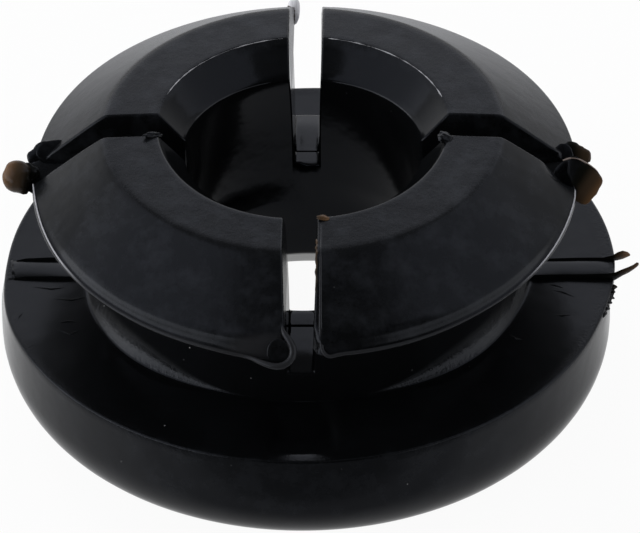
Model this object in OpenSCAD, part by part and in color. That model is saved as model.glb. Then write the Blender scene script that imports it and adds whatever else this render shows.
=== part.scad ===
// Split-head rubber grommet, moulded in one piece.
// It snaps through a round hole in a panel: the panel sits in the groove between
// the flange and the four fingers of the head, and a pin or tube goes through the bore.
// Millimetres. The origin is on the bore's axis, in the plane the flange rests on,
// and +Z points up through the head. The slots run along X and Y.

/* [Flange] */
// Diameter of the flange
flange_d = 20; // [18.5:0.1:26]
// Thickness of the flange
flange_h = 4; // [3.4:0.1:5]
// Radius of the flange's lower outer edge
flange_corner_r = 2.2; // [0.5:0.1:2.6]

/* [Neck] */
// Diameter of the neck where it leaves the flange
neck_root_d = 14.4; // [14.2:0.1:15.6]
// Diameter of the neck under the head
neck_top_d = 13.9; // [13.6:0.1:14.1]
// Height of the groove that holds the panel
groove_h = 3.6; // [2.4:0.1:5]
// Radius at the foot of the neck
root_fillet_r = 0.3; // [0.1:0.05:0.5]

/* [Head] */
// Diameter of the head over its lip
head_d = 18.2; // [17.4:0.1:18.4]
// Height of the rounded lip at the head's rim
lip_h = 0.36; // [0.3:0.02:0.6]
// Height of the head above the groove
head_h = 2.2; // [1.8:0.1:3]
// Outer diameter of the flat land on top of the head
land_outer_d = 13.1; // [12:0.1:14]
// Inner diameter of the flat land, where the mouth begins
land_inner_d = 9.5; // [8.8:0.1:10.5]

/* [Bore] */
// Diameter of the bore
bore_d = 7.7; // [6:0.1:8]
// Depth of the cone that leads into the bore
mouth_h = 0.9; // [0.4:0.1:1.2]
// Diameter of the countersink at the bore's lower end
flare_d = 11.2; // [9:0.1:13]
// Depth of the countersink at the bore's lower end
flare_h = 1.7; // [0.5:0.1:2.5]

/* [Slots] */
// Width of a slot at the land
slot_top_w = 1.1; // [0.9:0.05:1.4]
// Width of a slot at its floor
slot_floor_w = 0.85; // [0.6:0.05:0.9]
// Height of the slots' floor above the flange
slot_floor_h = 1.3; // [0.8:0.1:2]

/* [Marks of the mould] */
// Height of the strips on the flange, in line with the slots at the sides
strip_h = 0.12; // [0.05:0.01:0.2]
// Width of the strips
strip_w = 0.98; // [0.8:0.02:1.2]
// Depth of the scoop in the flange, in line with the front slot
scoop_h = 0.36; // [0.2:0.02:0.6]
// Width of the scoop
scoop_w = 2.2; // [1.6:0.1:3]
// Thickness of the leaves of flash at the slots' outer ends
flash_t = 0.3; // [0.2:0.02:0.4]
// Length of the longer whisker of flash at the flange's edge
whisker_l = 0.95; // [0.4:0.05:1.2]

/* [Hidden] */
$fn = 96;
eps = 0.01;
flange_r = flange_d / 2;
head_r = head_d / 2;
bore_r = bore_d / 2;
groove_top_z = flange_h + groove_h;
top_z = groove_top_z + head_h;
lip_r = lip_h / 2;
slot_floor_z = flange_h + slot_floor_h;

// Half section of the flange: a disc with a round lower outer edge.
module flange_section() {
  square([flange_r - flange_corner_r, flange_h]);
  translate([0, flange_corner_r]) square([flange_r, flange_h - flange_corner_r]);
  translate([flange_r - flange_corner_r, flange_corner_r]) circle(flange_corner_r);
}

// Half section of the neck, which narrows a little towards the head.
module neck_section() {
  overlap = 0.2;
  root = neck_root_d / 2;
  foot = root + root_fillet_r;
  polygon([[0, flange_h - eps], [root, flange_h - eps], [neck_top_d / 2, groove_top_z + eps],
    [0, groove_top_z + eps]]);
  difference() {
    translate([root - overlap, flange_h - eps])
      square([root_fillet_r + overlap, root_fillet_r + eps]);
    translate([foot, flange_h + root_fillet_r]) circle(root_fillet_r);
  }
}

// Half section of the head: lip, cone and flat land. The cone starts on the lip's round.
module head_section() {
  cone_r = head_r - 0.4 * lip_r;
  cone_z = groove_top_z + 1.8 * lip_r;
  polygon([[0, groove_top_z], [head_r - lip_r, groove_top_z], [cone_r, cone_z],
    [land_outer_d / 2, top_z], [0, top_z]]);
  translate([head_r - lip_r, groove_top_z + lip_r]) circle(lip_r);
}

// Half section of everything that is open along the axis.
module open_section() {
  flare_r = flare_d / 2;
  translate([0, -1]) square([bore_r, top_z + 2]);
  polygon([[0, top_z - mouth_h], [bore_r, top_z - mouth_h], [land_inner_d / 2, top_z],
    [land_inner_d / 2, top_z + 1], [0, top_z + 1]]);
  polygon([[0, -1], [flare_r, -1], [flare_r, 0], [bore_r, flare_h], [0, flare_h]]);
}

// One straight slot across the whole head, a little wider at the top.
module slot(turn) {
  over = 1;
  past_rim = 2;
  rise = top_z - slot_floor_z;
  top_w = slot_top_w + (slot_top_w - slot_floor_w) * over / rise;
  rotate([90, 0, turn + 90]) linear_extrude(height = flange_d + 2 * past_rim, center = true)
    polygon([[-slot_floor_w / 2, slot_floor_z], [slot_floor_w / 2, slot_floor_z],
      [top_w / 2, top_z + over], [-top_w / 2, top_z + over]]);
}

// The strips on the flange where the blades that formed the side slots stood.
module strips() {
  sunk_in_neck = 0.5;
  intersection() {
    translate([0, 0, flange_h - eps]) cylinder(r = flange_r, h = strip_h + eps);
    difference() {
      translate([-flange_r, -strip_w / 2, 0]) cube([flange_d, strip_w, flange_h + strip_h + 1]);
      cylinder(r = neck_top_d / 2 - sunk_in_neck, h = top_z);
    }
  }
}

// The shallow scoop that the front blade left in the flange, between neck and rim.
module scoop() {
  foot_gap = 0.1;
  rim_w = 0.38;
  near = neck_root_d / 2 + root_fillet_r + foot_gap;
  far = flange_r - rim_w;
  deepest = near + (far - near) * 0.3;
  rotate([90, 0, -90]) linear_extrude(height = scoop_w, center = true)
    polygon([[near, flange_h], [deepest, flange_h - scoop_h], [far, flange_h], [far, flange_h + eps],
      [near, flange_h + eps]]);
}

// A round leaf of flash that stands out of a finger's end, in line with a slot's wall.
// turn: side of the head. side: which of the slot's two walls. r: radius. out: reach.
module leaf(turn, side, r, out, z) {
  wall = side * (slot_top_w + flash_t) / 2;
  rotate([0, 0, turn]) translate([head_r + out - r, wall, z]) rotate([90, 0, 0])
    cylinder(r = r, h = flash_t, center = true);
}

// A droplet of flash on the end of one finger.
module droplet(turn, side, r, out, z) {
  wall = side * (slot_top_w / 2 + r);
  rotate([0, 0, turn]) translate([head_r + out - r, wall, z]) sphere(r);
}

// A whisker of flash at the flange's edge, at one side of a strip.
module whisker(side, l, rise) {
  root = 0.3;
  root_r = 0.12;
  tip_r = 0.06;
  translate([flange_r - root, side * strip_w / 2, flange_h - root_r / 2]) rotate([0, 90 - rise, 0])
    cylinder(r1 = root_r, r2 = tip_r, h = root + l, $fn = 16);
}

module grommet() {
  color([0.05, 0.05, 0.055]) {
    difference() {
      rotate_extrude() difference() {
        union() {
          flange_section();
          neck_section();
          head_section();
        }
        open_section();
      }
      for (turn = [0, 90]) slot(turn);
      scoop();
    }
    strips();
    leaf(0, -1, 1.0, 0.65, groove_top_z + 0.35);
    leaf(0, 1, 0.6, 0.3, groove_top_z + 0.35);
    leaf(180, 1, 0.65, 0.65, groove_top_z + 0.2);
    leaf(180, -1, 0.5, 0.1, groove_top_z + 0.3);
    droplet(270, -1, 0.42, 0.3, groove_top_z - 0.05);
    droplet(90, 1, 0.5, 0.35, groove_top_z + 0.2);
    whisker(-1, whisker_l, 10);
    whisker(1, whisker_l * 0.7, 4);
  }
}

grommet();
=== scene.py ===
import math
import random

import bmesh
import bpy
from mathutils import Matrix, Vector, noise


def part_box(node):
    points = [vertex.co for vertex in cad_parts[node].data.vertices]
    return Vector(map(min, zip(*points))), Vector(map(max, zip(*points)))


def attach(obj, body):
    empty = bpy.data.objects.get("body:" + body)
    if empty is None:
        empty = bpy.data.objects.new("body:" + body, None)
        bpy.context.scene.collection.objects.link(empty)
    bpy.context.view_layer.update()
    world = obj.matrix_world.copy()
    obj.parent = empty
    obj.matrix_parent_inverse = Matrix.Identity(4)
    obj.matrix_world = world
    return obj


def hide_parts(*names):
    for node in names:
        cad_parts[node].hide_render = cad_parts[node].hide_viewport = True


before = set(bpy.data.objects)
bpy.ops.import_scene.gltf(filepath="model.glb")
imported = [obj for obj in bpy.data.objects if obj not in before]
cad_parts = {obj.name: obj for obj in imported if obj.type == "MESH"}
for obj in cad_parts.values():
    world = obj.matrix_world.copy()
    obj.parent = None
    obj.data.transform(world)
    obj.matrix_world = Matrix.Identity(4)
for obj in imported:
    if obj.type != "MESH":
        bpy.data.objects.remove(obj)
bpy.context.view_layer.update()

# ------------------------------------------------------------------ view
# The part is looked at from the front and above with a long lens, as small parts are on
# a bench. The camera stands a little to the right of the front and is a degree off level.
# One millimetre is MM metres.
MM = 0.001
FLANGE_TOP = 4.0 * MM
CAMERA_DISTANCE = 300 * MM
CAMERA_SIDE = math.radians(1.5)
CAMERA_RISE = math.radians(37.96)
CAMERA_ROLL = math.radians(-0.98)
AIM_RIGHT = 0.481 * MM
AIM_UP = 0.106 * MM
SENSOR = 36
LENS = 514.3

back = Vector((math.sin(CAMERA_SIDE) * math.cos(CAMERA_RISE),
               -math.cos(CAMERA_SIDE) * math.cos(CAMERA_RISE), math.sin(CAMERA_RISE)))
level_right = Vector((math.cos(CAMERA_SIDE), math.sin(CAMERA_SIDE), 0))
level_up = back.cross(level_right)
right = math.cos(CAMERA_ROLL) * level_right + math.sin(CAMERA_ROLL) * level_up
up = back.cross(right)
camera_data = bpy.data.cameras.new("camera")
camera_data.sensor_width = SENSOR
camera_data.lens = LENS
camera = bpy.data.objects.new("camera", camera_data)
bpy.context.scene.collection.objects.link(camera)
camera.rotation_mode = "QUATERNION"
camera.rotation_quaternion = Matrix((right, up, back)).transposed().to_quaternion()
camera.location = (Vector((0, 0, FLANGE_TOP)) + back * CAMERA_DISTANCE
                   + right * AIM_RIGHT + up * AIM_UP)
bpy.context.scene.camera = camera
bpy.context.scene.view_settings.view_transform = "Standard"

# ------------------------------------------------------------------ body
# The grommet is one moulding of black rubber. Its form is turned about the bore: underside,
# bore, mouth, land, cone, lip, neck and flange. Four blades in the mould left the slots that
# part the head into fingers, and rubber squeezed out thin where the mould's parts met.
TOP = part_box("grommet")[1].z
BORE_R = 3.85 * MM
FLARE_H = 1.7 * MM
FLARE_R = 5.6 * MM
MOUTH_H = 0.9 * MM
LAND_IN_R = 4.75 * MM
LAND_OUT_R = 6.55 * MM
LAND_LEAN = 0.07 * MM
LIP_R = 9.1 * MM
GROOVE_TOP = 7.6 * MM
NECK_TOP_R = 6.95 * MM
NECK_R = 6.9 * MM
FOOT_R = 1.3 * MM
FLANGE_R = 10.0 * MM
CORNER_R = 2.2 * MM
SCOOP_R = 9.62 * MM
SLOT_FLOOR = 5.3 * MM
FLOOR_RISE_IN = 0.07 * MM
FLOOR_SAG_OUT = 0.12 * MM
CREASE_R = 4.72 * MM
CONE_SLOPE = 0.762
FLOOR_HALF_W = 0.425 * MM
TOP_HALF_W = 0.55 * MM
COLUMNS_IN_SLOT = 4
COLUMNS_IN_FINGER = 60
COLUMNS = 4 * (COLUMNS_IN_SLOT + COLUMNS_IN_FINGER)
COLUMN_STEP = 2 * math.pi / COLUMNS
FINGER_BUNCH = 0.45


def arc(centre, radius, start, end, steps):
    """Points on a round stretch of the outline, from one angle to another, in degrees."""
    points = []
    for step in range(steps + 1):
        angle = math.radians(start + (end - start) * step / steps)
        points.append((centre[0] + radius * math.cos(angle), centre[1] + radius * math.sin(angle)))
    return points


def run(start, end, steps):
    """Points on a straight stretch of the outline, without its two ends."""
    across, rise = end[0] - start[0], end[1] - start[1]
    return [(start[0] + across * step / steps, start[1] + rise * step / steps) for step in range(1, steps)]


def pick(piece):
    """Selects one object and nothing else."""
    bpy.ops.object.select_all(action="DESELECT")
    piece.select_set(True)
    bpy.context.view_layer.objects.active = piece


def edit(piece):
    """Opens one object for editing."""
    pick(piece)
    bpy.ops.object.mode_set(mode="EDIT")


def select(piece, kind, test):
    """Selects the faces or the edges of an open mesh for which the test holds."""
    mesh = bmesh.from_edit_mesh(piece.data)
    bpy.ops.mesh.select_mode(type={"faces": "FACE", "edges": "EDGE"}[kind])
    bpy.ops.mesh.select_all(action="DESELECT")
    found = [element for element in getattr(mesh, kind) if test(element)]
    for element in found:
        element.select_set(True)
    mesh.select_flush_mode()
    bmesh.update_edit_mesh(piece.data)


def slot_half_width(z):
    """Half the width of a slot at a height: the blades taper towards their tips."""
    share = max(0, (z - SLOT_FLOOR) / (TOP - SLOT_FLOOR))
    return FLOOR_HALF_W + (TOP_HALF_W - FLOOR_HALF_W) * share ** 2


def squeeze(co):
    """Moves a point round the axis, so that the columns in a slot run straight and parallel
    and those in a finger stand closer together near the slots."""
    radius = math.hypot(co.x, co.y)
    angle = math.atan2(co.y, co.x)
    middle = round(angle / (math.pi / 2)) * math.pi / 2
    column = abs(angle - middle) / COLUMN_STEP
    wall = math.asin(slot_half_width(co.z) / radius)
    in_slot = COLUMNS_IN_SLOT / 2
    if column <= in_slot + 0.01:
        moved = math.asin(slot_half_width(co.z) * min(1, column / in_slot) / radius)
    else:
        share = (column - in_slot) / (COLUMNS_IN_FINGER / 2)
        moved = wall + (math.pi / 4 - wall) * share * (1 - FINGER_BUNCH + FINGER_BUNCH * share)
    moved = middle + math.copysign(moved, angle - middle)
    return Vector((radius * math.cos(moved), radius * math.sin(moved), co.z))


floor_in = (BORE_R, SLOT_FLOOR + FLOOR_RISE_IN)
floor_out = (NECK_R + 0.01 * MM, SLOT_FLOOR - FLOOR_SAG_OUT)
mouth_low = (BORE_R, TOP - MOUTH_H)
land_in = (LAND_IN_R, TOP)
land_out = (LAND_OUT_R - 0.2 * MM, TOP - LAND_LEAN)
cone_top = (LAND_OUT_R + 0.15 * MM, TOP - LAND_LEAN - 0.17 * MM)
cone_low = (LIP_R - 0.34 * MM, cone_top[1] - CONE_SLOPE * (LIP_R - 0.34 * MM - cone_top[0]))
foot_centre = (NECK_R + FOOT_R, FLANGE_TOP + FOOT_R * math.sin(math.radians(45)))

outline = [(BORE_R, FLARE_H)]
outline += run(outline[-1], floor_in, 8) + [floor_in]
outline += run(floor_in, mouth_low, 8) + [mouth_low]
outline += run(mouth_low, land_in, 5) + [land_in]
outline += run(land_in, land_out, 9)
outline += [land_out, (LAND_OUT_R - 0.08 * MM, land_out[1] - 0.022 * MM),
            (LAND_OUT_R + 0.03 * MM, land_out[1] - 0.08 * MM)]
outline += [cone_top] + run(cone_top, cone_low, 12) + [cone_low]
outline += [(LIP_R - 0.29 * MM, cone_low[1] - 0.07 * MM), (LIP_R - 0.25 * MM, GROOVE_TOP + 0.24 * MM),
            (LIP_R - 0.21 * MM, GROOVE_TOP + 0.15 * MM), (LIP_R - 0.16 * MM, GROOVE_TOP + 0.1 * MM),
            (LIP_R - 0.1 * MM, GROOVE_TOP + 0.08 * MM), (LIP_R - 0.1 * MM, GROOVE_TOP + 0.03 * MM),
            (LIP_R - 0.3 * MM, GROOVE_TOP)]
outline += run(outline[-1], (NECK_TOP_R, GROOVE_TOP), 5)
outline += [(NECK_TOP_R, GROOVE_TOP)]
outline += run(outline[-1], floor_out, 6) + [floor_out]
outline += arc(foot_centre, FOOT_R, 180, 225, 8)
outline += run(outline[-1], (SCOOP_R, FLANGE_TOP), 12)
outline += [(SCOOP_R, FLANGE_TOP), (SCOOP_R + 0.04 * MM, FLANGE_TOP)]
outline += [(FLANGE_R - 0.1 * MM, FLANGE_TOP), (FLANGE_R, FLANGE_TOP)]
outline += run(outline[-1], (FLANGE_R, CORNER_R), 5)
outline += arc((FLANGE_R - CORNER_R, CORNER_R), CORNER_R, 0, -90, 14)
outline += run(outline[-1], (FLARE_R, 0), 4) + [(FLARE_R, 0)]
outline += run(outline[-1], outline[0], 5) + [outline[0]]

bpy.ops.object.select_all(action="DESELECT")
bpy.ops.mesh.primitive_circle_add(vertices=COLUMNS, radius=outline[0][0], location=(0, 0, 0))
body = bpy.context.object
body.name = "grommet_moulding"
edit(body)
bpy.ops.mesh.select_all(action="SELECT")
bpy.ops.transform.translate(value=(0, 0, outline[0][1]))
for (last_r, last_z), (r, z) in zip(outline, outline[1:]):
    bpy.ops.mesh.extrude_edges_move(TRANSFORM_OT_translate={"value": (0, 0, z - last_z)})
    bpy.ops.transform.resize(value=(r / last_r, r / last_r, 1), center_override=(0, 0, z))
bpy.ops.mesh.select_all(action="SELECT")
bpy.ops.mesh.remove_doubles(threshold=0.0005 * MM)


def smooth(value, start, end):
    """A smooth step from 0 to 1 as the value goes from start to end."""
    share = min(1, max(0, (value - start) / (end - start)))
    return share * share * (3 - 2 * share)


def round_front(co):
    """Angle of a point round the bore from the front, in degrees, more to the right."""
    return math.degrees(math.atan2(co.x, -co.y))


def across_slot(co):
    """Distance of a point from the nearer slot's middle plane."""
    return min(abs(co.x), abs(co.y))


def floor_height(radius):
    """Height of a slot's floor: it rises to the bore, and arches down to the neck."""
    if radius < CREASE_R:
        return SLOT_FLOOR + FLOOR_RISE_IN * (CREASE_R - radius) / (CREASE_R - BORE_R)
    along = min(1, (radius - CREASE_R) / (NECK_R - CREASE_R))
    return SLOT_FLOOR - FLOOR_SAG_OUT * along ** 2


def in_slot(face):
    """Whether a face of the turned form lies where a blade stood."""
    centre = face.calc_center_median()
    bottom = floor_height(math.hypot(centre.x, centre.y))
    return centre.z > bottom and across_slot(centre) < slot_half_width(centre.z)


mesh = bmesh.from_edit_mesh(body.data)
for vertex in mesh.verts:
    vertex.co = squeeze(vertex.co)
bmesh.update_edit_mesh(body.data)
select(body, "faces", in_slot)
bpy.ops.mesh.delete(type="FACE")
# Distance from the axis and height of each row across a slot's floor, in millimetres:
# a ring round the bore, a crease, a level stretch, then a fall to the neck.
FLOOR_ROWS = [(4.1, 5.365), (4.4, 5.36), (4.6, 5.35), (4.64, 5.27), (4.68, 5.26), (4.71, 5.33), (5.1, 5.32),
              (5.45, 5.31), (5.7, 5.3), (6.0, 5.285), (6.3, 5.26), (6.55, 5.225), (6.75, 5.2)]
FLOOR_CUTS = len(FLOOR_ROWS)


def ends_floor(edge, direction):
    """Whether an edge ends the floor of the slot that lies in a direction from the bore."""
    ends = [vertex.co for vertex in edge.verts]
    level = abs(ends[0].z - ends[1].z) < 0.001 * MM and ends[0].z < SLOT_FLOOR + 0.1 * MM
    ahead = all(co.dot(direction) > BORE_R / 2 for co in ends)
    return edge.is_boundary and level and ahead and across_slot((ends[0] + ends[1]) / 2) < FLOOR_HALF_W


for direction in (Vector((1, 0, 0)), Vector((0, 1, 0)), Vector((-1, 0, 0)), Vector((0, -1, 0))):
    select(body, "edges", lambda edge: ends_floor(edge, direction))
    bpy.ops.mesh.bridge_edge_loops(number_cuts=FLOOR_CUTS, interpolation="LINEAR")
select(body, "edges", lambda edge: edge.is_boundary)
bpy.ops.mesh.fill_holes(sides=0)
bpy.ops.mesh.select_all(action="SELECT")
bpy.ops.mesh.normals_make_consistent(inside=False)

mesh = bmesh.from_edit_mesh(body.data)
for vertex in mesh.verts:
    radius = max(abs(vertex.co.x), abs(vertex.co.y))
    inside = BORE_R + 0.02 * MM < radius < NECK_R - 0.02 * MM
    level = FLANGE_TOP + 0.7 * MM < vertex.co.z < SLOT_FLOOR + 0.1 * MM
    if inside and level and across_slot(vertex.co) < FLOOR_HALF_W + 0.01 * MM:
        row = round((radius - BORE_R) / (NECK_R - BORE_R) * (FLOOR_CUTS + 1))
        row_at, row_height = FLOOR_ROWS[row - 1]
        if abs(vertex.co.x) > abs(vertex.co.y):
            vertex.co = Vector((math.copysign(row_at * MM, vertex.co.x), vertex.co.y, row_height * MM))
        else:
            vertex.co = Vector((vertex.co.x, math.copysign(row_at * MM, vertex.co.y), row_height * MM))
bmesh.update_edit_mesh(body.data)

# Few mouldings are quite round. The hollow above the lip fades out at the sides, the lip
# droops at the front, its corners are round, and the foot is fuller at the sides.
COVE_END = 78
COVE_FADE = 35
DROOP_FROM = 8.55 * MM
DROOP_FRONT = 0.19 * MM
DROOP_FRONT_END = 50
DROOP_CORNER = 0.22 * MM
DROOP_CORNER_END = 25
FINGER_CORNER_R = 0.42 * MM
LEFT_CORNER_SHARE = 0.3
SLOT_LEAN = 0.24 * MM
BACK_STRETCH = 0.16 * MM
LEFT_PINCH = 0.22 * MM
RIGHT_PINCH = 0.1 * MM
RIM_SHIFT = 0.18 * MM
DENT = Vector((8.5, -0.35)) * MM
DENT_R = 0.75 * MM
DENT_DEPTH = 0.4 * MM
SCOOP_START = 7.2 * MM
SCOOP_DEPTH = 0.36 * MM
SCOOP_HALF_W = 1.3 * MM
SCOOP_SLOPE = 0.25
HOLLOW_LOW = 3.5 * MM
HOLLOW_Z = 6.8 * MM
HOLLOW_HIGH = 8.9 * MM
HOLLOW_DEPTH = 0.18 * MM
FOOT_LEAST = 0.03


def shape_lip(co):
    """Gives the lip its hollow, its droop and its round corners."""
    reach = math.hypot(co.x, co.y)
    angle = round_front(co)
    z = co.z
    if reach > cone_low[0] + 0.01 * MM and GROOVE_TOP + 0.05 * MM < z < cone_low[1]:
        straight = cone_low[1] - (reach - cone_low[0]) * CONE_SLOPE
        z = straight + (z - straight) * smooth(COVE_END - abs(angle), 0, COVE_FADE)
    out = max(0, (reach - DROOP_FROM) / (LIP_R - DROOP_FROM))
    corner = smooth(DROOP_CORNER_END + angle, 0, 20) if angle < 0 else 0
    z -= out * out * (DROOP_FRONT * smooth(DROOP_FRONT_END - abs(angle), 0, 30) + DROOP_CORNER * corner)
    rounded = FINGER_CORNER_R * (1 if angle > 0 else LEFT_CORNER_SHARE)
    gap = rounded - (across_slot(co) - slot_half_width(co.z))
    if gap > 0:
        cut = rounded - math.sqrt(max(0, rounded ** 2 - gap ** 2))
        reach_now = reach - cut * min(1, max(0, (reach - LIP_R + 1 * MM) / MM))
        co = co * (reach_now / reach)
    return Vector((co.x, co.y, z))


def lean(co):
    """Moves the head's middle and back a little backwards, draws its sides in, dents its lip at
    the right, shifts the flange's rim to the right at the back, hollows the bore in the back
    left finger, and leaves the shallow scoop of the front blade in the flange."""
    reach = math.hypot(co.x, co.y)
    out = smooth(reach, LAND_OUT_R, LIP_R)
    scoop = smooth(SCOOP_HALF_W - abs(co.x), 0, 0.4 * MM) * smooth(reach, SCOOP_START, SCOOP_START + 0.7 * MM)
    if abs(co.z - FLANGE_TOP) < 0.01 * MM and co.y < 0 and reach < SCOOP_R:
        co = Vector((co.x, co.y, co.z - min(SCOOP_DEPTH, (SCOOP_R - reach) * SCOOP_SLOPE) * scoop))
    across_mouth = min(1, max(0, (reach - BORE_R) / (LAND_IN_R - BORE_R)))
    head = smooth(co.z, GROOVE_TOP - 0.4 * MM, GROOVE_TOP + 0.3 * MM) * across_mouth
    if reach < BORE_R + 0.02 * MM and co.y > 0 > co.x:
        hollow = min((co.z - HOLLOW_LOW) / (HOLLOW_Z - HOLLOW_LOW),
                     (HOLLOW_HIGH - co.z) / (HOLLOW_HIGH - HOLLOW_Z))
        co = Vector((co.x, co.y + HOLLOW_DEPTH * math.sin(max(0, hollow) * math.pi / 2), co.z))
    back = max(0, co.y / reach)
    shift = SLOT_LEAN * smooth(co.y, -4.5 * MM, -0.5 * MM) + BACK_STRETCH * out * back
    left, right = max(0, -co.x / reach), max(0, co.x / reach)
    pinch = head * out * (LEFT_PINCH * left ** 4 - RIGHT_PINCH * right ** 4)
    rim = smooth(co.z, 2.8 * MM, 3.8 * MM) * smooth(-co.z, -4.2 * MM, -4.1 * MM)
    rim *= smooth(co.y, -3 * MM, 1 * MM)
    away = math.hypot(co.x - DENT.x, co.y - DENT.y)
    dent = DENT_DEPTH * head * smooth(-away, -DENT_R, 0)
    return Vector((co.x + pinch + RIM_SHIFT * rim, co.y + shift * head, co.z - dent))


mesh = bmesh.from_edit_mesh(body.data)
foot_top = foot_centre[1] + 0.01 * MM
for vertex in mesh.verts:
    reach = math.hypot(vertex.co.x, vertex.co.y)
    foot_high = FLANGE_TOP - 0.01 * MM < vertex.co.z < foot_top
    if vertex.co.z > GROOVE_TOP - 0.01 * MM and reach > DROOP_FROM:
        vertex.co = shape_lip(vertex.co)
    elif foot_high and NECK_R - 0.02 * MM < reach < foot_centre[0]:
        off_middle = abs(abs(abs(round_front(vertex.co)) - 90) - 90)
        full = FOOT_LEAST + (1 - FOOT_LEAST) * smooth(off_middle, 12, 55)
        inner = (reach - NECK_R) * full + NECK_R
        vertex.co = Vector((vertex.co.x * inner / reach, vertex.co.y * inner / reach,
                            FLANGE_TOP + (vertex.co.z - FLANGE_TOP) * full))
    vertex.co = lean(vertex.co)
bmesh.update_edit_mesh(body.data)

SHARP = math.radians(28)
EDGE_ROUND = 0.08 * MM
LAND_SHARE = 0.6
THIN_SHARE = 0.22
THIN_FROM = LIP_R - 1.1 * MM
THIN_OVER = 0.6 * MM


def creased(centre, reach):
    """Whether a point lies in the crease across a slot's floor."""
    low = SLOT_FLOOR - 0.2 * MM < centre.z < SLOT_FLOOR + 0.02 * MM
    return low and CREASE_R - 0.12 * MM < reach < CREASE_R + 0.18 * MM and across_slot(centre) < 0.4 * MM


def rounding(edge):
    """Share of the full rounding that an edge gets: none if it is flat or in the crease, and
    little at the thin lip."""
    centre = (edge.verts[0].co + edge.verts[1].co) / 2
    reach = math.hypot(centre.x, centre.y)
    if creased(centre, reach) or not edge.is_manifold or edge.calc_face_angle() < SHARP:
        return 0
    if centre.z < GROOVE_TOP - 0.25 * MM:
        return 1 if reach < NECK_R + 0.2 * MM or centre.z < FLANGE_TOP + 0.1 * MM else THIN_SHARE
    if centre.z > TOP - 0.1 * MM and reach < LAND_IN_R + 0.3 * MM:
        return LAND_SHARE
    out = (reach - THIN_FROM) / THIN_OVER
    return 1 - (1 - THIN_SHARE) * min(1, max(0, out))


mesh = bmesh.from_edit_mesh(body.data)
weights = mesh.edges.layers.float.new("bevel_weight_edge")
for edge in mesh.edges:
    edge[weights] = rounding(edge)
bmesh.update_edit_mesh(body.data)
bpy.ops.object.mode_set(mode="OBJECT")
rounded = body.modifiers.new("rounded_edges", "BEVEL")
rounded.limit_method = "WEIGHT"
rounded.width = EDGE_ROUND
rounded.segments = 3
rounded.use_clamp_overlap = False
bpy.ops.object.modifier_apply(modifier="rounded_edges")

# Where the mould's parts met, rubber squeezed out as flash: beads, ears, fins, whiskers and
# crumbs, all one with the body. How thin it is goes from 0 on the body to 1 and over at the
# ends of the flash, and its olive to milky tones paint light shining through the thin rubber.
# It goes below 0, to minus one and minus two, on a bead with a painted highlight.
HIGHLIGHT_MARK = -1.0
body.data.attributes.new("thin", "FLOAT", "POINT")


def thin_and_lit(scrap, near, far, low, high):
    """Marks how thin the rubber gets from one point of a scrap to another, and so how much painted light
    shines through it.
    """
    near, far = Vector(near) * MM, Vector(far) * MM
    axis = far - near
    layer = scrap.data.attributes.new("thin", "FLOAT", "POINT")
    for vertex in scrap.data.vertices:
        along = (vertex.co - near).dot(axis) / axis.dot(axis)
        layer.data[vertex.index].value = low + (high - low) * min(1, max(0, along))
    return scrap


def paint_highlight(scrap):
    """Marks a bead for a painted highlight: its skin is painted lighter than the rest, and palest at the
    sides.
    """
    layer = scrap.data.attributes.new("thin", "FLOAT", "POINT")
    for vertex in scrap.data.vertices:
        layer.data[vertex.index].value = HIGHLIGHT_MARK * (1 + smooth(abs(round_front(vertex.co)), 48, 66))
    return scrap


def lobe(centre, radii, turn=(0, 0, 0), lumps=0.0, spread=(1,)):
    """A rounded scrap of flash: a ball that is roughened, stretched and turned. Its reach in
    equal steps round its own Z is in spread, and its place and radii are in millimetres."""
    bpy.ops.object.select_all(action="DESELECT")
    bpy.ops.mesh.primitive_uv_sphere_add(segments=36, ring_count=20, radius=1)
    scrap = bpy.context.object
    for vertex in scrap.data.vertices:
        co = vertex.co
        step = math.atan2(co.y, co.x) / (2 * math.pi) * len(spread)
        between = step - math.floor(step)
        before, after = spread[math.floor(step) % len(spread)], spread[math.floor(step + 1) % len(spread)]
        reach = before + (after - before) * between * between * (3 - 2 * between)
        co = Vector((co.x * reach, co.y * reach, co.z))
        vertex.co = co * (1 + lumps * noise.noise(co * 1.6 + Vector(centre)))
    scrap.scale = [radius * MM for radius in radii]
    scrap.rotation_euler = [math.radians(angle) for angle in turn]
    scrap.location = [part * MM for part in centre]
    bpy.ops.object.transform_apply(location=True, rotation=True, scale=True)
    return scrap


def bead(points, radii):
    """A rounded bead of rubber along a smooth path near five or more points, in millimetres."""
    bpy.ops.object.select_all(action="DESELECT")
    bpy.ops.curve.primitive_nurbs_path_add(radius=1, location=(0, 0, 0))
    scrap = bpy.context.object
    path = scrap.data
    spline = path.splines[0]
    spline.points.add(len(points) - len(spline.points))
    for number, (point, co) in enumerate(zip(spline.points, points)):
        point.co = (*(part * MM for part in co), 1)
        point.radius = radii[min(number, len(radii) - 1)]
    spline.order_u = 3
    spline.use_endpoint_u = True
    spline.resolution_u = 4
    path.bevel_depth = MM
    path.bevel_resolution = 3
    path.use_fill_caps = True
    bpy.ops.object.convert(target="MESH")
    edit(scrap)
    bpy.ops.mesh.select_all(action="SELECT")
    bpy.ops.mesh.remove_doubles(threshold=0.001 * MM)
    bpy.ops.mesh.normals_make_consistent(inside=False)
    bpy.ops.object.mode_set(mode="OBJECT")
    return scrap


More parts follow.
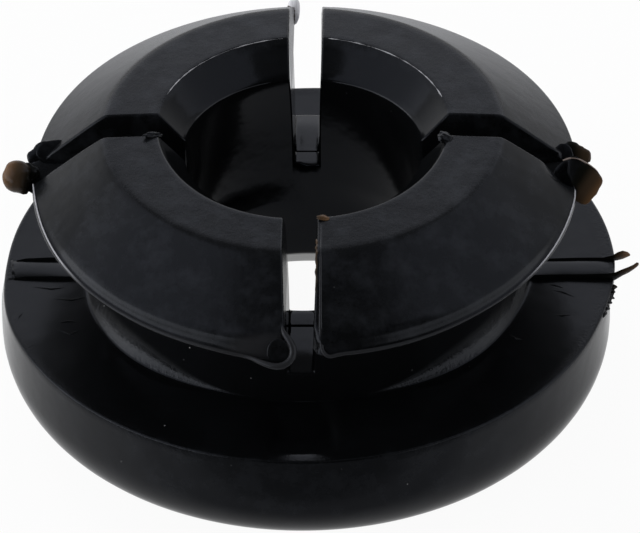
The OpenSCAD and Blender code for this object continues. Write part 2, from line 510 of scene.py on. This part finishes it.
def thread(stations, turn=0, sides=8):
    """A thin thread or fin of flash along X. Each station is x, y, z, half the width and half
    the height, in millimetres."""
    bpy.ops.object.select_all(action="DESELECT")
    across = (math.radians(90), 0, math.radians(90))
    bpy.ops.mesh.primitive_circle_add(vertices=sides, radius=MM, fill_type="NGON", rotation=across)
    scrap = bpy.context.object
    bpy.ops.object.transform_apply(location=False, rotation=True, scale=False)
    edit(scrap)
    bpy.ops.mesh.select_all(action="SELECT")
    last = Vector((0, 0, 0))
    last_size = (1, 1)
    for number, (x, y, z, wide, high) in enumerate(stations):
        spot = Vector((x, y, z)) * MM
        if number == 0:
            bpy.ops.transform.translate(value=spot)
        else:
            bpy.ops.mesh.extrude_region_move(TRANSFORM_OT_translate={"value": spot - last})
        bpy.ops.transform.resize(value=(1, wide / last_size[0], high / last_size[1]), center_override=spot)
        last = spot
        last_size = (wide, high)
    bpy.ops.mesh.select_all(action="SELECT")
    bpy.ops.mesh.normals_make_consistent(inside=False)
    bpy.ops.object.mode_set(mode="OBJECT")
    scrap.rotation_euler = (0, 0, math.radians(turn))
    bpy.ops.object.transform_apply(location=False, rotation=True, scale=False)
    return scrap


def unite(*scraps):
    """Makes scraps of flash one closed piece with the body."""
    for scrap in scraps:
        pick(body)
        union = body.modifiers.new("union", "BOOLEAN")
        union.operation = "UNION"
        union.solver = "MANIFOLD"
        union.object = scrap
        bpy.ops.object.modifier_apply(modifier="union")
        bpy.data.objects.remove(scrap)


# The bead that borders each front finger: down its slot edge, round the corner, along the lip.
# Its pale skin is a painted highlight.
BEAD_R = 0.065
LIP_BEAD_R = LIP_R / MM - BEAD_R


def on_cone(x, y, sunk=0.04):
    """A point sunk a little into the land or the cone, in millimetres."""
    reach = math.hypot(x, y) * MM
    top = outline[outline.index(land_in):outline.index(cone_low) + 1]
    for (last_r, last_z), (r, z) in zip(top, top[1:]):
        if reach <= r:
            break
    height = last_z + (z - last_z) * (reach - last_r) / (r - last_r)
    return Vector((x, y, height / MM - sunk))


def on_lip(angle):
    """A point on the lip's edge at an angle round from the front, in millimetres."""
    turn = math.radians(angle)
    co = Vector((LIP_BEAD_R * math.sin(turn), -LIP_BEAD_R * math.cos(turn), GROOVE_TOP / MM + 0.12))
    co = shape_lip(co * MM)
    co.z += 0.06 * MM * (1 - smooth(COVE_END - abs(angle), 0, COVE_FADE))
    return lean(co) / MM


right_path = [on_cone(0.68, y, 0.02) for y in (-4.95, -5.4, -5.9, -6.3, -6.5, -6.7, -7.1, -7.6, -8.0, -8.4)]
right_path += [Vector((0.7, -8.7, 7.84)), Vector((0.76, -8.94, 7.62)), Vector((0.98, -9.04, 7.52))]
right_path += [on_lip(angle) for angle in (8, 12, 17, 23, 30, 38, 46, 54, 62, 70, 78, 85, 91)]
right_radii = [0.02, 0.03, 0.035, 0.04, 0.045, 0.045, 0.045, 0.05, 0.055, 0.06]
right_radii += [BEAD_R] * 6 + [0.06, 0.05, 0.04, 0.03, 0.025]
unite(paint_highlight(bead(right_path, right_radii)))
left_path = [on_cone(-0.53, y) for y in (-8.3, -8.45)]
left_path += [Vector(co) for co in ((-0.44, -8.6, 8.1), (-0.28, -8.8, 7.96), (-0.17, -8.98, 7.78),
                                    (-0.22, -9.18, 7.55), (-0.5, -9.34, 7.4), (-0.84, -9.32, 7.38),
                                    (-1.2, -9.18, 7.42))]
left_path += [on_lip(-angle) for angle in (10, 14, 19, 25, 32, 40, 48, 56, 64, 72, 80, 86)]
left_radii = [0.02, 0.06, 0.1, 0.12, 0.12, 0.12, 0.12, 0.11, 0.09]
left_radii += [BEAD_R] * 5 + [0.055, 0.045, 0.035, 0.026]
unite(paint_highlight(bead(left_path, left_radii)))
# The dark drop inside the bead's loop at the front left corner. It is a trace thinner than
# the body, which tells the colour below to leave it black, without the painted highlight beside it.
DROP_THIN = 0.05
drop = lobe((-0.66, -9.02, 7.68), (0.36, 0.46, 0.03), (64, 0, 0))
unite(thin_and_lit(drop, (0, 0, 0), (0, 0, 1), DROP_THIN, DROP_THIN))
# Ragged flash down the front right finger's slot edge, and a fleck at its inner corner; their
# brown and amber paint light shining through them.
rag = [on_cone(0.54 + 0.02 * (step % 3), -5.75 - 0.13 * step, 0.05) for step in range(15)]
rag_radii = [0.03 + 0.035 * (step % 2) for step in range(15)]
fleck = lobe((0.72, -4.78, 9.84), (0.21, 0.1, 0.05), (20, 10, 0), lumps=0.3)
unite(thin_and_lit(bead(rag, rag_radii), (0, -5.6, 0), (0, -7.6, 0), 0.75, 0.35),
      thin_and_lit(fleck, (0.5, 0, 0), (0.9, 0, 0), 0.6, 0.9))
# Ears where the rubber squeezed out thin at the ends of the side slots; the olive, brown and
# amber on some of them paint light shining through them. Each list is an ear's reach in twelve
# equal steps round it, in millimetres, from its right side up.
TO_VIEWER = (52, 0, 0)
KNOB = (0.46, 0.56, 0.54, 0.525, 0.525, 0.46, 0.475, 0.485, 0.505, 0.525, 0.66, 0.51)
BACK_EAR = (0.7, 0.6, 0.49, 0.475, 0.44, 0.41, 0.56, 0.56, 0.4, 0.33, 0.33, 0.5)
TAB = (0.51, 0.34, 0.29, 0.35, 0.44, 0.46, 0.4, 0.4, 0.33, 0.33, 0.38, 0.57)
LEAF = (0.57, 0.505, 0.51, 0.6, 0.92, 0.66, 0.5, 0.46, 0.72, 0.79, 0.6, 0.52)


def beside(centre, across, rise):
    """A point to the right of another and above it as the camera sees them, in millimetres."""
    tilt = math.radians(TO_VIEWER[0])
    return Vector(centre) + Vector((across, rise * math.cos(tilt), rise * math.sin(tilt)))


leaf_at = (9.16, -0.35, 7.93)
leaf_edge = [beside(leaf_at, *spot)
             for spot in ((-0.72, 0.66), (-0.5, 0.76), (-0.16, 0.69), (0.23, 0.46), (0.4, 0.3))]
unite(thin_and_lit(lobe((-9.35, 0.0, 7.86), (1, 1, 0.4), TO_VIEWER, lumps=0.06, spread=KNOB),
               (-8.95, -0.1, 7.8), (-9.8, 0.1, 8.0), 0.35, 0.97),
      thin_and_lit(lobe((-8.95, 0.15, 7.93), (0.36, 0.3, 0.16), TO_VIEWER, lumps=0.25),
               (-8.7, 0, 7.9), (-9.2, 0, 7.9), 0.15, 0.4),
      lobe((-8.49, 1.0, 7.98), (1, 1, 0.12), TO_VIEWER, lumps=0.04, spread=BACK_EAR),
      lobe((-8.12, 0.88, 8.17), (0.62, 0.42, 0.05), TO_VIEWER, lumps=0.1),
      lobe((8.45, 0.85, 8.08), (0.32, 0.36, 0.05), TO_VIEWER, lumps=0.1),
      lobe((-8.2, 0.25, 7.62), (1.0, 0.75, 0.12), (25, 0, 0), lumps=0.05),
      lobe((8.2, 0.25, 7.62), (1.0, 0.75, 0.12), (25, 0, 0), lumps=0.05),
      lobe((8.68, -0.05, 7.86), (0.55, 0.55, 0.06), TO_VIEWER, lumps=0.05),
      thin_and_lit(lobe((8.84, 1.0, 8.04), (1, 1, 0.1), TO_VIEWER, spread=TAB),
               (8.6, 1.0, 8.0), (9.4, 1.0, 8.0), 0.2, 0.72),
      thin_and_lit(lobe(leaf_at, (1, 1, 0.07), TO_VIEWER, lumps=0.04, spread=LEAF),
               (8.95, 0.1, 8.1), (9.7, -0.4, 7.8), 0.1, 0.85),
      # The pale bead along the leaf's edge is a painted highlight.
      thin_and_lit(bead(leaf_edge, [0.02, 0.035, 0.035, 0.03, 0.02]), (0, 0, 0), (0, 0, 1), 1.05, 1.05))
# The bulge at the back, painted milky pale as light shining through it, and curled flaps at
# the inner corners of the front fingers.
bulge = lobe((-0.5, 9.15, 7.78), (0.22, 0.5, 0.3), (35, 0, -8), lumps=0.1)
unite(thin_and_lit(bulge, (0, 0, 0), (0, 0, 1), 1.3, 1.3),
      lobe((-4.85, -0.35, 9.82), (0.32, 0.1, 0.1), (10, 15, 25), lumps=0.35),
      lobe((4.62, -0.5, 9.8), (0.26, 0.24, 0.12), (0, 20, -30), lumps=0.3))
# A ragged hair of flash along the back of the mouth's edge, on both sides of the slot. It is
# painted pale as a highlight line.
HAIR_STEPS = 30
HAIR_R = 4.74 * MM
HAIR_Z = 9.795 * MM
random.seed(3)
for first, last in ((108, 171), (189, 250)):
    hair = []
    for step in range(HAIR_STEPS + 1):
        turn = math.radians(first + (last - first) * step / HAIR_STEPS)
        hair.append(lean(Vector((HAIR_R * math.sin(turn), -HAIR_R * math.cos(turn), HAIR_Z))) / MM)
    unite(paint_highlight(bead(hair, [random.choice((0.003, 0.003, 0.003, 0.01, 0.022)) for spot in hair])))
# The strips that the side blades left across the flange: a low step with a fin along each
# edge. On the right the fins run on past the rim as two whiskers; on the left a lip is torn.
FLASH_Z = 4.0
STRIP_SIDES = 24
unite(thread([(6.9, 0.02, FLASH_Z, 0.49, 0.05), (8.5, 0.0, FLASH_Z, 0.49, 0.05),
              (9.6, 0.01, FLASH_Z, 0.49, 0.06), (9.97, 0.0, FLASH_Z - 0.01, 0.49, 0.04)], sides=STRIP_SIDES),
      thread([(6.9, 0.02, FLASH_Z, 0.49, 0.05), (8.6, 0.01, FLASH_Z, 0.48, 0.05),
              (9.3, -0.01, FLASH_Z, 0.49, 0.06), (9.62, 0.0, FLASH_Z - 0.01, 0.46, 0.04)],
             turn=180, sides=STRIP_SIDES))
back_whisker = thread([
    (7.0, 0.5, FLASH_Z, 0.03, 0.07), (8.0, 0.49, FLASH_Z, 0.03, 0.08), (9.0, 0.53, FLASH_Z, 0.03, 0.08),
    (9.8, 0.51, FLASH_Z, 0.035, 0.1), (10.1, 0.56, FLASH_Z + 0.04, 0.07, 0.12),
    (10.25, 0.62, FLASH_Z + 0.07, 0.11, 0.16), (10.42, 0.68, FLASH_Z + 0.08, 0.1, 0.17),
    (10.58, 0.7, FLASH_Z + 0.08, 0.06, 0.1), (10.66, 0.7, FLASH_Z + 0.06, 0.02, 0.03)])
front_whisker = thread([
    (7.0, -0.47, FLASH_Z, 0.035, 0.1), (7.7, -0.49, FLASH_Z, 0.03, 0.17),
    (8.6, -0.46, FLASH_Z, 0.035, 0.16), (9.3, -0.48, FLASH_Z, 0.035, 0.18),
    (9.9, -0.47, FLASH_Z + 0.02, 0.05, 0.18), (10.15, -0.44, FLASH_Z + 0.06, 0.09, 0.16),
    (10.4, -0.36, FLASH_Z + 0.16, 0.08, 0.13), (10.6, -0.3, FLASH_Z + 0.22, 0.07, 0.12),
    (10.75, -0.24, FLASH_Z + 0.28, 0.06, 0.1), (10.86, -0.2, FLASH_Z + 0.35, 0.06, 0.1),
    (10.93, -0.18, FLASH_Z + 0.37, 0.03, 0.04)])
# The whiskers' ends are painted brown to amber, as light shining through them.
unite(thin_and_lit(back_whisker, (9.9, 0, 0), (10.6, 0, 0), 0.1, 0.95),
      thin_and_lit(front_whisker, (9.9, 0, 0), (10.8, 0, 0), 0.1, 0.75),
      thread([(7.0, 0.48, FLASH_Z, 0.03, 0.1), (8.2, 0.5, FLASH_Z, 0.03, 0.13),
              (9.2, 0.47, FLASH_Z, 0.03, 0.1), (9.55, 0.5, FLASH_Z - 0.02, 0.02, 0.06)], turn=180),
      thread([(7.0, -0.48, FLASH_Z, 0.03, 0.1), (8.4, -0.52, FLASH_Z, 0.03, 0.12),
              (9.2, -0.49, FLASH_Z, 0.03, 0.1), (9.5, -0.46, FLASH_Z - 0.02, 0.02, 0.06)], turn=180),
      lobe((-9.6, 0.0, 4.0), (0.05, 0.42, 0.07), (0, 0, 6), lumps=0.6))
# A few wrinkles in the flange's skin beside the side strips.
WRINKLE_SIZES = (0.012, 0.036, 0.012)
for wrinkle in (((8.0, -0.8), (8.2, -0.86), (8.45, -0.98)), ((8.15, -1.1), (8.45, -1.22), (8.8, -1.45)),
                ((-8.16, -1.54), (-7.6, -1.6), (-7.2, -1.45)), ((-7.95, -2.8), (-7.7, -2.72), (-7.4, -2.75)),
                ((-9.32, -2.7), (-9.3, -2.5), (-9.2, -2.3)), ((-7.95, -3.2), (-7.6, -3.4), (-7.3, -3.2)),
                ((-8.9, -0.9), (-8.3, -1.02), (-7.9, -0.95)), ((6.68, -3.45), (6.9, -3.65), (7.15, -3.72)),
                ((8.1, -2.35), (8.4, -2.45), (8.7, -2.4))):
    unite(thread([(*spot, FLASH_Z - 0.005, size, size) for spot, size in zip(wrinkle, WRINKLE_SIZES)]))
# Torn crumbs along the flange's rim, in front of the right whiskers, painted brown as light
# shining through them.
CRUMB_R = 9.97
random.seed(7)
for step in range(5):
    round_rim = math.radians(-4.6 - 1.8 * step - 0.8 * random.random())
    at = (CRUMB_R * math.cos(round_rim), CRUMB_R * math.sin(round_rim), 3.88 - 0.05 * random.random())
    tilt = (0, 10 - 20 * random.random(), -25 + 35 * random.random())
    crumb = lobe(at, (0.28 - 0.04 * step, 0.19, 0.08), tilt, lumps=0.4)
    unite(thin_and_lit(crumb, (10.0, 0, 0), (10.25, 0, 0), 0.2, 0.6))

pick(body)
bpy.ops.object.shade_smooth_by_angle(angle=math.radians(50))
weighted = body.modifiers.new("even_shading", "WEIGHTED_NORMAL")
weighted.weight = 50
weighted.keep_sharp = True
bpy.ops.object.modifier_apply(modifier="even_shading")


class Wire:
    """A value, vector or colour that runs between the nodes of a material."""

    def __init__(self, tree, socket=None):
        self.tree = tree
        self.socket = socket

    def node(self, kind, settings=None, sockets=None, out=0):
        """Adds a node, sets it, fills or links its inputs, and gives one of its outputs."""
        made = self.tree.nodes.new("ShaderNode" + kind)
        for name, value in (settings or {}).items():
            setattr(made, name, value)
        for name, value in (sockets or {}).items():
            if isinstance(value, Wire):
                self.tree.links.new(value.socket, made.inputs[name])
            else:
                made.inputs[name].default_value = value
        return Wire(self.tree, made.outputs[out])

    def math(self, operation, *values):
        """Adds one Math node for numbers or other wires."""
        return self.node("Math", {"operation": operation}, dict(enumerate(values)))

    def __add__(self, other):
        return self.math("ADD", self, other)

    __radd__ = __add__

    def __sub__(self, other):
        return self.math("SUBTRACT", self, other)

    def __rsub__(self, other):
        return self.math("SUBTRACT", other, self)

    def __mul__(self, other):
        return self.math("MULTIPLY", self, other)

    __rmul__ = __mul__

    def rise(self, start, end):
        """A smooth step from 0 to 1 as the value goes from start to end."""
        span = {"Value": self, "From Min": start, "From Max": end}
        return self.node("MapRange", {"interpolation_type": "SMOOTHSTEP"}, span)

    def tint(self, low, high):
        """A colour that goes from low to high as the value goes from 0 to 1."""
        colours = {"Factor": self, 6: low, 7: high}
        return self.node("Mix", {"data_type": "RGBA"}, colours, out=2)

    def to(self, shader, name):
        """Links the wire to an input of a shader."""
        self.tree.links.new(self.socket, shader.inputs[name])


# The rubber is near black and glossy. Its land is grainy, its head has a faint bloom, the
# mould left streaks round the foot, and the sides of the flange's top are rubbed.
GLOSS = 0.08
HEAD_GRAIN = 0.0014
LAND_GRAIN = 0.0022
RIM_GRAIN = 0.012
FOOT_STREAKS = 0.022
BLACK = (0.0035, 0.0038, 0.0042, 1)
BLOOM = (0.013, 0.0142, 0.0165, 1)
# A highlight painted on the lip beside the drop.
LIP_HIGHLIGHT = (0.017, 0.0175, 0.019, 1)
# Painted highlights on the beads, much paler at their sides.
BEAD_HIGHLIGHT = (0.02, 0.0205, 0.022, 1)
SIDE_HIGHLIGHT = (0.4, 0.4, 0.42, 1)
# Olive, brown, amber and milky paint light shining through thin flash.
OLIVE = (0.006, 0.006, 0.004, 1)
BROWN = (0.045, 0.03, 0.018, 1)
AMBER = (0.13, 0.07, 0.032, 1)
MILKY = (0.8, 0.8, 0.82, 1)
DUST = (0.5, 0.5, 0.5, 1)
rubber = bpy.data.materials.new("black_rubber")
rubber.use_nodes = True
shader = rubber.node_tree.nodes["Principled BSDF"]
shader.inputs["Specular IOR Level"].default_value = 0.15
shader.inputs["Specular Tint"].default_value = (0.92, 0.98, 1.12, 1)
board = Wire(rubber.node_tree)
metres = board.node("TexCoord", out="Object")
place = board.node("VectorMath", {"operation": "SCALE"}, {0: metres, "Scale": 1 / MM}, out=0)
x, y, z = (board.node("SeparateXYZ", None, {0: place}, out=axis) for axis in range(3))
radius = board.math("POWER", x * x + y * y, 0.5)
stretched = board.node("VectorMath", {"operation": "MULTIPLY"}, {0: place, 1: (1, 1, 0.12)})
grain = board.node("TexNoise", None, {"Vector": place, "Scale": 11.0, "Detail": 3.0, "Roughness": 0.6})
lumps = board.node("TexNoise", None, {"Vector": place, "Scale": 1.3, "Detail": 2.0})
streaks = board.node("TexNoise", None, {"Vector": stretched, "Scale": 7.0, "Detail": 3.0, "Roughness": 0.7})
on_land = z.rise(9.6, 9.7)
on_foot = radius.rise(7.7, 7.4) * radius.rise(6.7, 6.8) * z.rise(4.8, 4.4) * z.rise(4.01, 4.08)
on_head = z.rise(7.4, 7.6) * radius.rise(4.65, 4.85)
on_rim = radius.rise(9.5, 9.85) * z.rise(3.6, 3.9)
height = (grain * (on_land * LAND_GRAIN + on_head * HEAD_GRAIN + on_rim * RIM_GRAIN + 0.0003)
          + lumps * (on_head * 0.006 + 0.008) + streaks * (on_foot * FOOT_STREAKS + 0.0006))
board.node("Bump", None, {"Strength": 1.0, "Distance": MM, "Height": height}).to(shader, "Normal")
rubbed = board.math("ABSOLUTE", x).rise(5.5, 7.5) * z.rise(3.9, 3.98) * z.rise(4.1, 4.05)
(on_head * 0.11 + on_land * 0.03 + rubbed * 0.1 + grain * 0.1 + GLOSS).to(shader, "Roughness")
patches = board.node("TexNoise", None, {"Vector": place, "Scale": 1.1, "Detail": 6.0, "Roughness": 0.7})
bloom = patches.rise(0.42, 0.72) * (on_head * 0.8 + radius.rise(9.75, 9.9) * 0.35 + 0.12)
colour = bloom.tint(BLACK, BLOOM)
thin = board.node("Attribute", {"attribute_name": "thin"}, out=2)
# A highlight is painted pale on the lip beside the drop at the front left corner, but not on the drop.
highlight_beside_drop = x.rise(-3.2, -1.7) * x.rise(-0.4, -0.6) * y.rise(-8.45, -8.7) * z.rise(7.3, 7.5)
colour = (highlight_beside_drop * (1 - thin.rise(0.0, 0.8 * DROP_THIN))).tint(colour, LIP_HIGHLIGHT)
# The beads' pale tones are painted highlights, and the flash's olive to milky tones paint light shining
# through it.
for start, end, tone in ((0.0, HIGHLIGHT_MARK, BEAD_HIGHLIGHT), (HIGHLIGHT_MARK, 2 * HIGHLIGHT_MARK, SIDE_HIGHLIGHT), (0.0, 0.3, OLIVE),
                         (0.3, 0.6, BROWN), (0.6, 0.95, AMBER), (0.95, 1.3, MILKY)):
    colour = thin.rise(start, end).tint(colour, tone)
# Dust sits in the middles of a few chosen cells of a cell pattern.
cells = {"Vector": place, "Scale": 1.4}
speck = board.node("TexVoronoi", None, cells).rise(0.034, 0.018)
chosen = board.node("SeparateColor", None, {0: board.node("TexVoronoi", None, cells, out=1)}).rise(0.45, 1.0)
(speck * chosen).tint(colour, DUST).to(shader, "Base Color")
body.data.materials.clear()
body.data.materials.append(rubber)
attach(body, "root")
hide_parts("grommet")

# ------------------------------------------------------------------ table and light
# A white table top, five soft boxes, a small lamp and a dim room. The table top looks white
# whatever light falls on it, and keeps a faint shadow of the grommet. In the rubber's gloss
# it is pale round the grommet's back and sides, and dark in front of it.
TABLE_GLOW = 0.95
UNDER_GLOW = 0.5
FRONT_DARK = 0.6
RING_IN = 13 * MM
RING_OUT = 19 * MM
RING_FRONT = -9.5 * MM
BAND_START = -11 * MM
BAND_END = -18 * MM
bpy.ops.object.select_all(action="DESELECT")
bpy.ops.mesh.primitive_plane_add(size=6, location=(0, 0, 0))
table = bpy.context.object
table.name = "table_top"
white = bpy.data.materials.new("white_table")
white.use_nodes = True
board = Wire(white.node_tree)
shader = white.node_tree.nodes["Principled BSDF"]
shader.inputs["Base Color"].default_value = (0.85, 0.85, 0.85, 1)
shader.inputs["Roughness"].default_value = 0.9
shader.inputs["Specular IOR Level"].default_value = 0
place = board.node("TexCoord", out="Object")
away = board.node("VectorMath", {"operation": "LENGTH"}, {0: place}, out=1)
depth = board.node("SeparateXYZ", None, {0: place}, out=1)
mirrored = board.node("LightPath", out="Is Glossy Ray")
ring = (1 - away.rise(RING_IN, RING_OUT)) * depth.rise(RING_FRONT - 2 * MM, RING_FRONT)
under = ring * mirrored
band = (1 - depth.rise(BAND_START - 2.5 * MM, BAND_START)) * mirrored
beyond = (1 - depth.rise(BAND_END - 12 * MM, BAND_END)) * mirrored
share = (board.node("LightPath", out="Is Camera Ray") * TABLE_GLOW + under * UNDER_GLOW
         + band * FRONT_DARK + beyond * (TABLE_GLOW - FRONT_DARK))
glow = board.node("Emission", None, {"Strength": 1 - band})
surface = board.node("MixShader", None, {0: share, 1: Wire(white.node_tree, shader.outputs[0]), 2: glow})
surface.to(white.node_tree.nodes["Material Output"], "Surface")
table.data.materials.append(white)


def soft_box(name, azimuth, elevation, distance, width, height, radiance, mirrored=True, cool=0.0):
    """A lit rectangle that faces the part from an azimuth round from the back and an elevation,
    both in degrees. Its radiance is what a mirror would show, and its sizes are in metres."""
    data = bpy.data.lights.new(name, "AREA")
    data.shape = "RECTANGLE"
    data.size = width
    data.size_y = height
    data.energy = radiance * math.pi * width * height
    data.color = (1 - cool, 1 - 0.6 * cool, 1 + cool)
    lamp = bpy.data.objects.new(name, data)
    bpy.context.scene.collection.objects.link(lamp)
    turn, rise = math.radians(azimuth), math.radians(elevation)
    outward = Vector((math.sin(turn) * math.cos(rise), math.cos(turn) * math.cos(rise), math.sin(rise)))
    lamp.location = outward * distance
    lamp.rotation_mode = "QUATERNION"
    lamp.rotation_quaternion = outward.to_track_quat("Z", "Y")
    lamp.visible_glossy = mirrored


BOX_COOL = 0.06
soft_box("back_box", 0, 31.5, 0.6, 0.9, 0.31, 0.92, cool=BOX_COOL)
soft_box("left_box", -99, 46, 0.5, 0.66, 0.36, 0.78, cool=BOX_COOL)
soft_box("right_box", 80, 46, 0.5, 0.5, 0.36, 0.6, cool=BOX_COOL)
soft_box("left_strip", -110, 14, 0.5, 0.85, 0.22, 2.3)
soft_box("right_strip", 108, 14, 0.5, 0.82, 0.22, 1.2)
soft_box("table_lamp", -30, 42, 0.7, 0.25, 0.25, 7.0, mirrored=False)

# The room is white to look at and dim to light with: grey walls, a paler screen low round the
# back and sides that is brighter on the left, and darkness in front.
ROOM = 0.2
FRONT_FALL = 0.19
world = bpy.context.scene.world or bpy.data.worlds.new("room")
bpy.context.scene.world = world
world.use_nodes = True
board = Wire(world.node_tree)
backdrop = world.node_tree.nodes["Background"]
backdrop.inputs["Color"].default_value = (1, 1, 1, 1)
towards = board.node("TexCoord", out="Generated")
side, depth, height = (board.node("SeparateXYZ", None, {0: towards}, out=axis) for axis in range(3))
screen = (1 - height.rise(0.2, 0.6)) * depth.rise(-0.7, -0.2) * (0.65 - side * 0.25)
front = (1 - depth.rise(-0.48, -0.3)) * FRONT_FALL
walls = screen + ROOM - front
walls.math("MAXIMUM", walls, board.node("LightPath", out="Is Camera Ray")).to(backdrop, "Strength")
